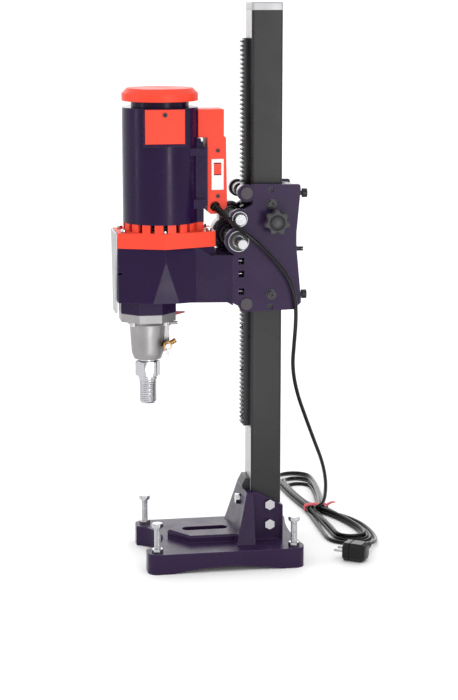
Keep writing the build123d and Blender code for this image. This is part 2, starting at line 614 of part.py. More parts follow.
def make_spindle_housing():
    """An octagonal plate with a tapered barrel below it, and a boss for the water along its back."""
    body = octagon(SNOUT_AF - 1, SNOUT_PLATE_BOTTOM, GEARBOX_BOTTOM)
    body += cone_z(34, 42, SNOUT_PLATE_BOTTOM - 7, SNOUT_PLATE_BOTTOM, 0, SPINDLE_Y)
    body += cone_z(28.5, 32.5, 384, SNOUT_PLATE_BOTTOM, 0, SPINDLE_Y)
    body += cone_z(24.5, 28.5, SNOUT_BOTTOM, 384, 0, SPINDLE_Y)
    boss = [(-195, 380), (-178, 387), (-172.5, 395), (-172.5, SNOUT_PLATE_BOTTOM + 1),
            (-195, SNOUT_PLATE_BOTTOM + 1)]
    body += prism_x(boss, -10, 10)
    body -= rod_z(26.0, 446, 460, 0, SPINDLE_Y)
    body -= rod_z(20.0, 376, 450, 0, SPINDLE_Y)
    body -= rod_z(SPINDLE_R + 3.5, 360, 380, 0, SPINDLE_Y)
    body -= rod_x(3.05, -4, 12, VALVE_Y, VALVE_Z)
    body -= rod_y(2.5, -194, VALVE_Y, 0, VALVE_Z)
    body -= rod_y(3.05, -186, -165, 0, STOP_BOLT_Z)
    for x, y in snout_bolt_places():
        body -= rod_z(SNOUT_BOLT_R, SNOUT_PLATE_BOTTOM - 1, 460, x, y)
        body -= rod_z(SNOUT_HEAD_R + 0.05, 430, SNOUT_PLATE_BOTTOM, x, y)
    return body


def make_seal():
    return tube_z(20.0, SPINDLE_R + 0.05, 380, 390, 0, SPINDLE_Y)


def make_bearings():
    """Ball bearings of the spindle, countershaft and armature, as plain rings."""
    shaft = SPINDLE_R + 0.05
    return [tube_z(26.0, shaft, 446, 461, 0, SPINDLE_Y), tube_z(16.0, shaft, 528, 540, 0, SPINDLE_Y),
            tube_z(9.0, 5.05, 481, 487, COUNTER_X, COUNTER_Y),
            tube_z(11.0, 5.05, 578, 586, COUNTER_X, COUNTER_Y),
            tube_z(14.0, 7.05, 586, 597, 0, MOTOR_Y), tube_z(13.0, 7.05, 816, 826, 0, MOTOR_Y)]


def mesh_angle(x0, y0, x1, y1):
    """Direction from one gear's centre to the next, for gears with Z axes."""
    angle = acos((x1 - x0) / hypot(x1 - x0, y1 - y0))
    return angle if y1 >= y0 else -angle


FIRST_ANGLE = mesh_angle(0, MOTOR_Y, COUNTER_X, COUNTER_Y)
SECOND_ANGLE = mesh_angle(COUNTER_X, COUNTER_Y, 0, SPINDLE_Y)


def make_spindle():
    """Threaded nose, wrench hexagon, and a shank with a water bore up its middle."""
    body = rod_z(THREAD_R, SPINDLE_BOTTOM, SPINDLE_BOTTOM + THREAD_LENGTH + 5, 0, SPINDLE_Y)
    body = chamfer(body.faces().sort_by(Axis.Z)[0].edges(), 2.5)
    hexa = Pos(0, SPINDLE_Y, 341) * hexagon(41, 28, turn=32)
    body += chamfer(hexa.faces().sort_by(Axis.Z)[0].edges(), 1.0)
    body += rod_z(THREAD_R + 1.2, 335, 343, 0, SPINDLE_Y) + rod_z(SPINDLE_R + 3, 368, 378, 0, SPINDLE_Y)
    body += rod_z(SPINDLE_R, 370, 541, 0, SPINDLE_Y)
    body -= rod_z(5.0, SPINDLE_BOTTOM - 1, 410, 0, SPINDLE_Y)
    return body - rod_x(3.0, -20, 20, SPINDLE_Y, VALVE_Z)


def make_spindle_gear():
    first = SECOND_ANGLE + pi + pi / SECOND_TEETH[1]
    gear = gear_z(SECOND_TEETH[1], SECOND_MODULE, 0, SPINDLE_Y, 506, 524, first)
    return gear - rod_z(SPINDLE_R, 500, 530, 0, SPINDLE_Y)


def make_countershaft():
    shaft = rod_z(5.0, 481.5, 585.5, COUNTER_X, COUNTER_Y)
    shaft += gear_z(SECOND_TEETH[0], SECOND_MODULE, COUNTER_X, COUNTER_Y, 504, 546, SECOND_ANGLE)
    first = FIRST_ANGLE + pi + pi / FIRST_TEETH[1]
    return shaft + gear_z(FIRST_TEETH[1], FIRST_MODULE, COUNTER_X, COUNTER_Y, 546, 560, first)


# ---- motor --------------------------------------------------------------------------------------
def make_motor_flange():
    body = prism_z(hex_plan(), FLANGE_BOTTOM, FLANGE_TOP, 2.0)
    ring = tube_z(MOTOR_R, MOTOR_R - 8, FLANGE_TOP - 1, MOTOR_BOTTOM, 0, MOTOR_Y)
    vents = 18
    for vent in range(vents):
        slot = block(40, 80, -4, 4, FLANGE_TOP + 1, MOTOR_BOTTOM + 1)
        ring -= Pos(0, MOTOR_Y, 0) * Rot(0, 0, 360 / vents * vent) * slot
    body += ring + block(-24, 24, -126, -112, FLANGE_TOP - 1, MOTOR_BOTTOM)
    body -= rod_z(MOTOR_R - 9, FLANGE_TOP - 8, FLANGE_TOP + 1, 0, MOTOR_Y)
    body -= rod_z(14.0, 586, 600, 0, MOTOR_Y) + rod_z(10.0, 570, 600, 0, MOTOR_Y)
    body -= rod_z(11.0, 570, 586, COUNTER_X, COUNTER_Y)
    for x, y in flange_bolt_places():
        body -= rod_z(3.05, FLANGE_BOTTOM - 1, FLANGE_TOP + 1, x, y)
        body -= rod_z(5.1, FLANGE_TOP, FLANGE_TOP + 9, x, y)
    return body


BRUSH_Z = 784.0
COVER_HALF_W, COVER_BOTTOM, COVER_TOP = 34.5, 760.0, 819.0


def make_motor_casing():
    body = rod_z(MOTOR_R, MOTOR_BOTTOM, MOTOR_TOP, 0, MOTOR_Y)
    for side in (-1, 1):
        x0, x1 = sorted((side * 40.0, side * 66.0))
        body += block(x0, x1, MOTOR_Y - COVER_HALF_W - 2, MOTOR_Y + COVER_HALF_W + 2, 755, MOTOR_TOP)
    # The saddle that the switch box is screwed to, in three steps.
    body += block(-30, 30, -140, -105.7, 648, 752)
    body += block(-26, 26, -140, -112, 752, 760) + block(-22, 22, -140, -116, 760, 765)
    body += block(-38, 38, -150, -110, 644, 660) + block(-46, 46, -150, -110, 738, 750)
    body += block(-26, 26, -140, -112, MOTOR_BOTTOM, 650)
    body -= rod_z(MOTOR_R - MOTOR_WALL, MOTOR_BOTTOM - 1, MOTOR_TOP + 1, 0, MOTOR_Y)
    for side in (-1, 1):
        x0, x1 = sorted((side * 40.0, side * 70.0))
        body -= block(x0, x1, MOTOR_Y - 14, MOTOR_Y + 14, BRUSH_Z - 12, BRUSH_Z + 12)
        body -= rod_x(2.0, x0, x1, MOTOR_Y, COVER_TOP - 9)
        x0, x1 = sorted((side * 66.0, side * 70.0))
        body -= block(x0, x1, MOTOR_Y - COVER_HALF_W - 2, MOTOR_Y + COVER_HALF_W + 2, 755, MOTOR_TOP + 1)
    body -= rod_y(2.0, -125, -100, 12, 745) + rod_y(2.0, -125, -100, 12, 657)
    return body


def make_end_bell():
    body = rod_z(MOTOR_R - MOTOR_WALL, 812, MOTOR_TOP, 0, MOTOR_Y) + rod_z(51.0, MOTOR_TOP, 834, 0, MOTOR_Y)
    body -= rod_z(46.0, 811, 814, 0, MOTOR_Y) + rod_z(13.0, 810, 829, 0, MOTOR_Y)
    body -= rod_z(46.0, 829, 835, 0, MOTOR_Y)
    # Two posts that reach down to the brush holders.
    for solid in both_sides(block(45, 55, MOTOR_Y - 8, MOTOR_Y + 8, BRUSH_Z + 7, 815)):
        body += solid
    return body


def make_motor_cap():
    cap = rod_z(67.0, 831, 853, 0, MOTOR_Y)
    cap = chamfer(cap.faces().sort_by(Axis.Z)[-1].edges(), 9.0)
    cap = fillet(cap.edges().filter_by(GeomType.CIRCLE).sort_by(Axis.Z)[0], 1.5)
    return cap - rod_z(51.05, 830, 834, 0, MOTOR_Y) - rod_z(44, 830, 847, 0, MOTOR_Y)


def make_brush_covers():
    cover = block(66, 69, MOTOR_Y - COVER_HALF_W, MOTOR_Y + COVER_HALF_W, COVER_BOTTOM, COVER_TOP)
    cover = chamfer(cover.faces().sort_by(Axis.X)[-1].edges(), 1.0)
    cover -= rod_x(2.0, 60, 80, MOTOR_Y, COVER_TOP - 9)
    return both_sides(cover)


def make_brush_holders():
    holder = block(22, 60, MOTOR_Y - 8, MOTOR_Y + 8, BRUSH_Z - 7, BRUSH_Z + 7)
    holder += block(52, 56, MOTOR_Y - 14, MOTOR_Y + 14, BRUSH_Z - 12, BRUSH_Z + 7)
    holder -= block(20, 58, MOTOR_Y - 5.1, MOTOR_Y + 5.1, BRUSH_Z - 4.1, BRUSH_Z + 4.1)
    return both_sides(holder)


def make_brushes():
    return both_sides(block(17.4, 42, MOTOR_Y - 5, MOTOR_Y + 5, BRUSH_Z - 4, BRUSH_Z + 4))


def make_small_screws():
    """Pan head screws of the brush covers and of the switch box, and two small casing screws."""
    screw_z = COVER_TOP - 9
    screws = both_sides(rod_x(1.95, 56, 70, MOTOR_Y, screw_z) + rod_x(4.0, 69, 71.5, MOTOR_Y, screw_z))
    for y, z in BOX_SCREWS:
        screws.append(rod_x(2.0, 14, 26, y, z) + rod_x(3.4, 25, 27, y, z))
    return screws


def make_stator():
    """Laminated ring with the field coils' ends above and below it."""
    core = tube_z(MOTOR_R - MOTOR_WALL, 30.0, 655, 745, 0, MOTOR_Y)
    for z0, z1 in ((643, 655), (745, 757)):
        core += tube_z(54.0, 33.0, z0, z1, 0, MOTOR_Y)
    return core


def make_armature_shaft():
    shaft = rod_z(7.0, 573, 828, 0, MOTOR_Y) + rod_z(4.0, 543, 573, 0, MOTOR_Y)
    return shaft + gear_z(FIRST_TEETH[0], FIRST_MODULE, 0, MOTOR_Y, 545, 565, FIRST_ANGLE)


def make_armature_core():
    core = tube_z(29.0, 7.0, 660, 740, 0, MOTOR_Y)
    slots = 14
    for slot in range(slots):
        cut = block(22, 32, -1.5, 1.5, 659, 741)
        core -= Pos(0, MOTOR_Y, 0) * Rot(0, 0, 360 / slots * slot) * cut
    return core + tube_z(24.0, 7.0, 648, 660, 0, MOTOR_Y) + tube_z(24.0, 7.0, 740, 754, 0, MOTOR_Y)


def make_commutator():
    return tube_z(17.0, 7.0, 772, 796, 0, MOTOR_Y)


def make_fan():
    fan = tube_z(54.0, 7.0, 610, 613, 0, MOTOR_Y) + tube_z(14.0, 7.0, 613, 630, 0, MOTOR_Y)
    blades = 11
    for blade in range(blades):
        vane = block(13, 52, -1.2, 1.2, 612, 630)
        fan += Pos(0, MOTOR_Y, 0) * Rot(0, 0, 360 / blades * blade) * vane
    return fan


# ---- switch box, valve and small fittings -------------------------------------------------------
BOX_HALF_W = 25.0
BOX_SCREWS = ((-86.5, 744.0), (-86.5, 664.0))   # Y and Z of the box's two side screws
ROCKER_Y, ROCKER_Z = -87.3, 712.0


def make_switch_box():
    side = [(-121.8, 767), (-105.6, 767), (-105.6, 638), (-99, 632), (-80, 634), (-70, 646),
            (-72, 767), (-75.6, 769), (-75.6, 816), (-121.8, 816)]
    box = prism_x(side, -BOX_HALF_W, BOX_HALF_W, 1.5)
    box = chamfer(box.faces().sort_by(Axis.X)[-1].edges(), 0.8)
    box -= rod_z(MOTOR_R + 0.1, 760, 820, 0, MOTOR_Y)
    box -= block(-22, 21, -118.5, -79, 772, 812) + block(-22, 21, -102.5, -75.5, 642, 780)
    box -= block(20, 30, -98.2, -76.4, 675, 729.5)
    box -= rod_x(CORD_R + 2.2, 15, 30, -92.0, 646.0)
    for y, z in BOX_SCREWS:
        box -= rod_x(2.05, 15, 30, y, z)
    return box


def make_switch_plate():
    """A framed plate in the box's side, with a well for the rocker."""
    plate = block(21.5, 26.5, -98.2, -76.4, 675, 729.5)
    plate = chamfer(plate.faces().sort_by(Axis.X)[-1].edges(), 0.6)
    plate -= block(15, 30, ROCKER_Y - 6.5, ROCKER_Y + 6.5, ROCKER_Z - 11, ROCKER_Z + 11)
    pin = rod_y(1.5, ROCKER_Y - 6.5, ROCKER_Y + 6.5, 22.5, ROCKER_Z)
    return plate + pin


def make_rocker():
    """Rocks about a pin along Y; its two pads stand at a shallow angle to each other."""
    pads = [(20.5, ROCKER_Z - 5), (20.5, ROCKER_Z + 5), (24.6, ROCKER_Z + 9.4), (28.6, ROCKER_Z + 9.4),
            (26.9, ROCKER_Z), (27.4, ROCKER_Z - 9.4), (24.2, ROCKER_Z - 9.4)]
    rocker = prism_y(pads, ROCKER_Y - 6.1, ROCKER_Y + 6.1)
    return rocker - rod_y(1.56, ROCKER_Y - 10, ROCKER_Y + 10, 22.5, ROCKER_Z)


def make_water_valve():
    """Brass stop valve on the water boss, with a hose nipple that points up and back."""
    body = rod_x(3.0, 4, 16, VALVE_Y, VALVE_Z) + rod_x(4.5, 10, 18, VALVE_Y, VALVE_Z)
    body += Pos(17, VALVE_Y, VALVE_Z) * Rot(0, 90, 0) * hexagon(15, 10)
    body += rod_x(7.5, 26, 30, VALVE_Y, VALVE_Z)
    nipple = rod_z(4.0, 0, 9, 0, 0) + cone_z(4.8, 3.8, 9, 13.5, 0, 0) + cone_z(4.8, 3.8, 13.5, 18, 0, 0)
    body += Pos(21.5, VALVE_Y, VALVE_Z) * Rot(-60, 0, 0) * nipple
    return body - rod_x(2.55, 20, 40, VALVE_Y, VALVE_Z)


def make_valve_lever():
    """Small wing lever on the valve's stem."""
    lever = rod_x(2.5, 21, 34, VALVE_Y, VALVE_Z) + rod_x(5.0, 30.3, 34.5, VALVE_Y, VALVE_Z)
    return lever + block(31, 34, VALVE_Y - 2.5, VALVE_Y + 2.5, VALVE_Z - 16, VALVE_Z + 5)


def make_stop_bolt():
    """A bolt in the boss's side with a lock nut, for the water ring."""
    nut = Pos(0, -169.5, STOP_BOLT_Z) * Rot(90, 0, 0) * hexagon(9, 3)
    return rod_y(3.0, -185, -156.5, 0, STOP_BOLT_Z) + nut


def make_depth_pointer():
    root_y = SPINDLE_Y + (SNOUT_AF - 1) / 2
    pointer = [(root_y, 449), (root_y + 19, 453.5), (root_y + 19, 455.5), (root_y, 456)]
    return prism_x(pointer, -3, 3)


RELIEF_START = Vector(23.0, -93.0, 647.2)


def make_strain_relief():
    end = Vector(*CORD_ROUTE[0])
    way = end - RELIEF_START
    frame = Plane(origin=RELIEF_START, z_dir=way)
    sleeve = frame * Pos(0, 0, way.length / 2) * Cone(7.0, 4.8, way.length)
    collar = frame * Pos(0, 0, 3) * Cylinder(8.5, 6)
    return sleeve + collar - block(-30, BOX_HALF_W, -130, -60, 600, 700)


# ---- cord, hank and plug ------------------------------------------------------------------------
def turn_radii(points, reach=0.45):
    radii = []
    for before, here, after in zip(points, points[1:], points[2:]):
        first, second = Vector(*here) - Vector(*before), Vector(*after) - Vector(*here)
        half_turn = radians(first.get_angle(second)) / 2
        radii.append(reach * min(first.length, second.length) / tan(half_turn))
    return radii


def make_cord():
    radii = turn_radii(CORD_ROUTE)
    path = FilletPolyline(*CORD_ROUTE, radius=radii)
    section = Plane(origin=path @ 0, z_dir=path % 0) * Circle(CORD_R)
    tube = sweep(section, path=path)
    expected = pi * CORD_R**2 * path.length
    print("cord bend radii:", [round(radius, 1) for radius in radii])
    print(f"cord length {path.length:.0f} mm, volume {tube.volume:.0f} of {expected:.0f} mm3")
    return tube


def make_hank():
    """Outer shape of the tied hank: long loops towards the back, wider ones towards the plug."""
    back = face([(-500, 172), (-512, 150), (-492, 128), (-440, 118), (-300, 128), (TIE_X, TIE_Y - 15),
                 (TIE_X, TIE_Y + 15), (-300, 180), (-440, 186)])
    front = face([(TIE_X, TIE_Y - 15), (-150, 118), (-70, 112), (-14, 122), (-2, 150), (-10, 196),
                  (-60, 226), (-130, 222), (TIE_X, TIE_Y + 15)])
    return extrude(back, HANK_H, dir=(0, 0, 1)) + extrude(front, HANK_H, dir=(0, 0, 1))


def make_tie():
    """Band round the hank's waist."""
    half_x, half_y = 9.0, 21.0
    outer = block(TIE_X - half_x, TIE_X + half_x, TIE_Y - half_y, TIE_Y + half_y, 0.2, HANK_H + 3)
    waist = block(TIE_X - 20, TIE_X + 20, TIE_Y - half_y + 2, TIE_Y + half_y - 2, 1.5, HANK_H + 1)
    return fillet(outer.edges().filter_by(Axis.X), 5) - fillet(waist.edges().filter_by(Axis.X), 4)


PLUG_AT, PLUG_TURN = (84.0, 158.0), -35.0


def make_plug():
    """Right-angled mains plug, lying on the floor with its pins turned away from the operator."""
    body = block(-21, 21, -18, 18, 0.5, 34)
    body = chamfer(body.edges().filter_by(Axis.X), 7)
    body = chamfer(body.faces().sort_by(Axis.X)[-1].edges(), 5)
    boot = Pos(0, 40, 12) * Rot(90, 0, 0) * Cone(6.0, 9.5, 48)
    place = Pos(PLUG_AT[0], PLUG_AT[1], 0) * Rot(0, 0, PLUG_TURN + 90)
    pins = [rod_x(2.4, -40, -20, y, 17) for y in (-9.5, 9.5)]
    return [place * (body + boot), *[place * (pin - body) for pin in pins]]


# ---- write every sub-part ----
save("base_casting", make_base())
save("column_tube", make_column())
save("column_cap", make_column_cap())
save("gear_rack", make_rack())
save("rack_screws", *make_rack_screws())
save("column_bolts", *make_column_bolts())
save("column_wedge", make_column_wedge())
save("levelling_nuts", *make_level_nuts())
for number, (foot_x, foot_y) in enumerate(foot_centres(), 1):
    save(f"levelling_bolt_{number}", make_levelling_bolt(foot_x, foot_y))

save("carriage_casting", make_carriage_casting())
save("roller_pins", *make_roller_pins())
save("guide_pads", *make_guide_pads())
save("guide_screws", *make_guide_screws())
save("shaft_bearings", *make_shaft_bearings())
save("feed_gear_case", make_gear_case())
save("arm_bolts", *make_arm_bolts())
save("upper_rollers", *make_rollers(ROLLER_Z["upper"]))
save("lower_rollers", *make_rollers(ROLLER_Z["lower"]))
save("pinion_shaft", make_pinion_shaft())
save("feed_shaft", make_feed_shaft())
save("lock_knob", make_lock_knob())
save("lock_stud", make_lock_stud())

save("gearbox_housing", make_gearbox())
save("front_cover", make_front_cover())
save("gearbox_bolts", *make_gearbox_bolts())
save("spindle_housing", make_spindle_housing())
save("spindle_seal", make_seal())
save("drive_bearings", *make_bearings())
save("spindle", make_spindle())
save("spindle_gear", make_spindle_gear())
save("countershaft", make_countershaft())
save("water_valve", make_water_valve())
save("valve_lever", make_valve_lever())
save("stop_bolt", make_stop_bolt())
save("depth_pointer", make_depth_pointer())

save("motor_flange", make_motor_flange())
save("motor_casing", make_motor_casing())
save("motor_end_bell", make_end_bell())
save("motor_cap", make_motor_cap())
save("brush_covers", *make_brush_covers())
save("brush_holders", *make_brush_holders())
save("carbon_brushes", *make_brushes())
save("small_screws", *make_small_screws())
save("stator", make_stator())
save("armature_shaft", make_armature_shaft())
save("armature_core", make_armature_core())
save("commutator", make_commutator())
save("cooling_fan", make_fan())

save("switch_box", make_switch_box())
save("switch_plate", make_switch_plate())
save("switch_rocker", make_rocker())
save("strain_relief", make_strain_relief())
save("power_cord", make_cord())
save("cord_hank", make_hank())
save("hank_tie", make_tie())
save("mains_plug", *make_plug())
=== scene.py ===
"""Looks of the core drill rig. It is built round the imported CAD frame, in metres, in the same frame."""
import json
from math import cos, copysign, pi, radians, sin

import bmesh
import bpy
from mathutils import Matrix, Vector


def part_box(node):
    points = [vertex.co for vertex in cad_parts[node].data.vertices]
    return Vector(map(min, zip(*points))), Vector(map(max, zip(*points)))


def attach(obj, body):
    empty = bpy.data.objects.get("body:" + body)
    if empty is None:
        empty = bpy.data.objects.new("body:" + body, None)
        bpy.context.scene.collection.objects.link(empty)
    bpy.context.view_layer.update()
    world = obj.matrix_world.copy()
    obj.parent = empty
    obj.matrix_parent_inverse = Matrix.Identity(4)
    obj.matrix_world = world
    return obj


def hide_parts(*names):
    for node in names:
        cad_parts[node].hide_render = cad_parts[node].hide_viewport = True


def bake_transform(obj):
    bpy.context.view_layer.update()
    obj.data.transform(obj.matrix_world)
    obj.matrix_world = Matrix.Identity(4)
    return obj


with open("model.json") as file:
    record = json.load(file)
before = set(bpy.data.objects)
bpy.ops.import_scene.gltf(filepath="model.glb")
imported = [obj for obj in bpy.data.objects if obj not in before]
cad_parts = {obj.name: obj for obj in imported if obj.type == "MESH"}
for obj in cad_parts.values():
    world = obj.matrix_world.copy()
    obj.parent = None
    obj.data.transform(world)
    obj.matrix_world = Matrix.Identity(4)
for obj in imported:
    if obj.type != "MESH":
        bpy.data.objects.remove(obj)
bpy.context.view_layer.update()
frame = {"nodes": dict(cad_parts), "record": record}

NODES = frame["nodes"]
BODY_OF = {node: body for body, nodes in frame["record"]["behaviour"]["bodies"].items() for node in nodes}
SLOT_OF = {part["node"]: part["material_slot"] for part in frame["record"]["subparts"]}


def aimed(place, way):
    """The matrix of a camera or light at a place, looking along way."""
    return Matrix.Translation(place) @ way.to_track_quat("-Z", "Y").to_matrix().to_4x4()


# ---- camera -------------------------------------------------------------------------------------
CAMERA_AT = Vector((3.1943, -0.50616, 1.03383))
CAMERA_YAW, CAMERA_PITCH, LENS = radians(9.64), radians(11.38), 94.05


def make_camera():
    data = bpy.data.cameras.new("camera")
    data.lens = LENS
    data.sensor_fit = "VERTICAL"
    data.sensor_height = 36.0
    camera = bpy.data.objects.new("camera", data)
    bpy.context.scene.collection.objects.link(camera)
    forward = Vector((-cos(CAMERA_YAW) * cos(CAMERA_PITCH), sin(CAMERA_YAW) * cos(CAMERA_PITCH),
                      -sin(CAMERA_PITCH)))
    camera.matrix_world = aimed(CAMERA_AT, forward)
    bpy.context.scene.camera = camera


make_camera()


# ---- materials ----------------------------------------------------------------------------------
def surface(name, colour, second, roughness, metallic=0.0, coat=0.0, patch=25.0, grain=900.0,
            bump=0.12, spread=0.06, edge=None, edge_share=0.5, soft=0.0012, specular=0.5,
            stretch=(1, 1, 1)):
    """One finish: two close shades in patches, a fine grain, uneven gloss, and softened edges with a
    lighter tint: bare metal through wear on the metals, a painted edge highlight on the paints and
    plastics.
    """
    material = bpy.data.materials.new(name)
    material.use_nodes = True
    nodes, links = material.node_tree.nodes, material.node_tree.links
    shader = nodes["Principled BSDF"]
    shader.inputs["Metallic"].default_value = metallic
    shader.inputs["Coat Weight"].default_value = coat
    shader.inputs["Coat Roughness"].default_value = 0.08
    shader.inputs["Specular IOR Level"].default_value = specular

    place = nodes.new("ShaderNodeTexCoord")
    mapping = nodes.new("ShaderNodeMapping")
    mapping.inputs["Scale"].default_value = stretch
    links.new(place.outputs["Object"], mapping.inputs["Vector"])

    def noise(scale, detail):
        node = nodes.new("ShaderNodeTexNoise")
        node.inputs["Scale"].default_value = scale
        node.inputs["Detail"].default_value = detail
        links.new(mapping.outputs["Vector"], node.inputs["Vector"])
        return node.outputs["Fac"]

    patches, fine = noise(patch, 5.0), noise(grain, 2.0)
    shade = nodes.new("ShaderNodeMix")
    shade.data_type = "RGBA"
    shade.inputs["A"].default_value = (*colour, 1)
    shade.inputs["B"].default_value = (*second, 1)
    links.new(patches, shade.inputs["Factor"])
    colour_out = shade.outputs["Result"]

    gloss = nodes.new("ShaderNodeMapRange")
    gloss.inputs["From Min"].default_value = 0.3
    gloss.inputs["From Max"].default_value = 0.7
    gloss.inputs["To Min"].default_value = max(roughness - spread, 0.02)
    gloss.inputs["To Max"].default_value = roughness + spread
    links.new(patches, gloss.inputs["Value"])
    links.new(gloss.outputs["Result"], shader.inputs["Roughness"])

    rounded = nodes.new("ShaderNodeBevel")
    rounded.samples = 4
    rounded.inputs["Radius"].default_value = soft
    relief = nodes.new("ShaderNodeBump")
    relief.inputs["Strength"].default_value = bump
    relief.inputs["Distance"].default_value = 0.0004
    links.new(fine, relief.inputs["Height"])
    links.new(rounded.outputs["Normal"], relief.inputs["Normal"])
    links.new(relief.outputs["Normal"], shader.inputs["Normal"])

    # Edge tint in patches: bare metal through wear on the metal finishes, a painted edge highlight on the
    # paints and plastics.
    if edge:
        geometry = nodes.new("ShaderNodeNewGeometry")
        dot = nodes.new("ShaderNodeVectorMath")
        dot.operation = "DOT_PRODUCT"
        links.new(rounded.outputs["Normal"], dot.inputs[0])
        links.new(geometry.outputs["Normal"], dot.inputs[1])
        wear_and_highlight = nodes.new("ShaderNodeMapRange")
        wear_and_highlight.inputs["From Min"].default_value = 0.985
        wear_and_highlight.inputs["From Max"].default_value = 0.86
        wear_and_highlight.inputs["To Max"].default_value = edge_share
        links.new(dot.outputs["Value"], wear_and_highlight.inputs["Value"])
        patchy_wear_and_highlight = nodes.new("ShaderNodeMath")
        patchy_wear_and_highlight.operation = "MULTIPLY"
        links.new(wear_and_highlight.outputs["Result"], patchy_wear_and_highlight.inputs[0])
        links.new(noise(patch * 6, 3.0), patchy_wear_and_highlight.inputs[1])
        wear_and_highlight_mix = nodes.new("ShaderNodeMix")
        wear_and_highlight_mix.data_type = "RGBA"
        wear_and_highlight_mix.inputs["B"].default_value = (*edge, 1)
        links.new(colour_out, wear_and_highlight_mix.inputs["A"])
        links.new(patchy_wear_and_highlight.outputs["Value"], wear_and_highlight_mix.inputs["Factor"])
        colour_out = wear_and_highlight_mix.outputs["Result"]
    links.new(colour_out, shader.inputs["Base Color"])
    return material


PURPLE, PURPLE_LIGHT = (0.0120, 0.0035, 0.027), (0.0165, 0.0055, 0.037)
PLUM, PLUM_LIGHT = (0.0230, 0.0110, 0.038), (0.0310, 0.0165, 0.052)
# Edge tint of the purple paints, a painted edge highlight.
LAVENDER = (0.20, 0.15, 0.30)
FINISH = {
    "purple_paint": surface("purple_paint", PLUM, PLUM_LIGHT, 0.28, grain=500, bump=0.1, edge=LAVENDER,
                            edge_share=0.6, soft=0.0018, specular=0.12),
    "purple_alloy": surface("purple_alloy", PURPLE, PURPLE_LIGHT, 0.25, grain=420, bump=0.07, edge=LAVENDER,
                            edge_share=0.45, soft=0.0018, specular=0.14),
    "black_paint": surface("black_paint", (0.022, 0.021, 0.022), (0.030, 0.029, 0.031), 0.30, grain=350,
                           bump=0.06, edge=(0.11, 0.11, 0.12), edge_share=0.5, soft=0.002, specular=0.18),
    "black_oxide": surface("black_oxide", (0.016, 0.016, 0.018), (0.032, 0.032, 0.035), 0.36, metallic=0.8,
                           edge=(0.62, 0.62, 0.65), edge_share=1.0, soft=0.0009),
    "dark_grey": surface("dark_grey", (0.034, 0.029, 0.034), (0.050, 0.043, 0.050), 0.36, metallic=0.3,
                         grain=1100, bump=0.1, edge=(0.32, 0.30, 0.34), soft=0.0008, specular=0.3),
    "steel": surface("steel", (0.36, 0.36, 0.37), (0.27, 0.27, 0.28), 0.27, metallic=1.0, grain=1500,
                     bump=0.08, edge=(0.8, 0.8, 0.8), soft=0.0005),
    "chrome": surface("chrome", (0.56, 0.56, 0.58), (0.40, 0.40, 0.42), 0.15, metallic=1.0, grain=1200,
                      bump=0.05, edge=(0.95, 0.95, 0.95), soft=0.0007),
    "aluminium": surface("aluminium", (0.34, 0.33, 0.33), (0.26, 0.252, 0.256), 0.40, metallic=0.85,
                         grain=1300, bump=0.25, edge=(0.75, 0.75, 0.75), soft=0.0012),
    "light_grey": surface("light_grey", (0.42, 0.42, 0.43), (0.33, 0.33, 0.34), 0.38, metallic=0.35,
                          grain=900, bump=0.12, edge=(0.75, 0.75, 0.76), soft=0.0009),
    "brass": surface("brass", (0.44, 0.25, 0.09), (0.30, 0.16, 0.06), 0.28, metallic=1.0, grain=1400,
                     edge=(0.85, 0.6, 0.3), soft=0.0006),
    "copper": surface("copper", (0.62, 0.26, 0.12), (0.5, 0.2, 0.09), 0.3, metallic=1.0),
    "red_plastic": surface("red_plastic", (0.84, 0.058, 0.028), (0.74, 0.050, 0.024), 0.42, specular=0.22,
                           grain=1100, bump=0.1, edge=(1.0, 0.2, 0.13), edge_share=0.35, soft=0.0012),
    "dark_red": surface("dark_red", (0.30, 0.008, 0.022), (0.24, 0.006, 0.018), 0.38, grain=1100,
                        edge=(0.5, 0.05, 0.06), soft=0.0006),
    "black_plastic": surface("black_plastic", (0.028, 0.027, 0.030), (0.042, 0.041, 0.045), 0.40,
                             grain=1300, bump=0.25, edge=(0.12, 0.12, 0.13), soft=0.0012, specular=0.35),
    "white_plastic": surface("white_plastic", (0.8, 0.8, 0.8), (0.74, 0.74, 0.75), 0.32, grain=1200,
                             bump=0.06, soft=0.0006),
    "bronze_pad": surface("bronze_pad", (0.4, 0.3, 0.16), (0.33, 0.25, 0.13), 0.5),
    "core_iron": surface("core_iron", (0.11, 0.11, 0.12), (0.16, 0.15, 0.15), 0.45, metallic=0.7,
                         stretch=(1, 1, 40)),
    "carbon": surface("carbon", (0.03, 0.03, 0.03), (0.045, 0.045, 0.045), 0.6),
    "black_rubber": surface("black_rubber", (0.003, 0.003, 0.0033), (0.006, 0.006, 0.0065), 0.20,
                            grain=1100, bump=0.08, spread=0.04, soft=0.0006, specular=0.22),
    "red_tie": surface("red_tie", (0.62, 0.012, 0.035), (0.5, 0.01, 0.03), 0.55, grain=1600, bump=0.5,
                       soft=0.0006),
}
for node, item in NODES.items():
    item.data.materials.clear()
    item.data.materials.append(FINISH[SLOT_OF[node]])


# ---- mesh helpers -------------------------------------------------------------------------------
def add_piece(name, verts, faces, slot, sharp=35.0):
    """A new smooth-shaded object in one finish, with creases where faces meet at over sharp degrees."""
    mesh = bpy.data.meshes.new(name)
    mesh.from_pydata([tuple(v) for v in verts], [], faces)
    mesh.validate()
    work = bmesh.new()
    work.from_mesh(mesh)
    bmesh.ops.recalc_face_normals(work, faces=work.faces)
    work.to_mesh(mesh)
    work.free()
    mesh.polygons.foreach_set("use_smooth", [True] * len(mesh.polygons))
    mesh.set_sharp_from_angle(angle=radians(sharp))
    piece = bpy.data.objects.new(name, mesh)
    bpy.context.scene.collection.objects.link(piece)
    mesh.materials.append(FINISH[slot])
    return piece


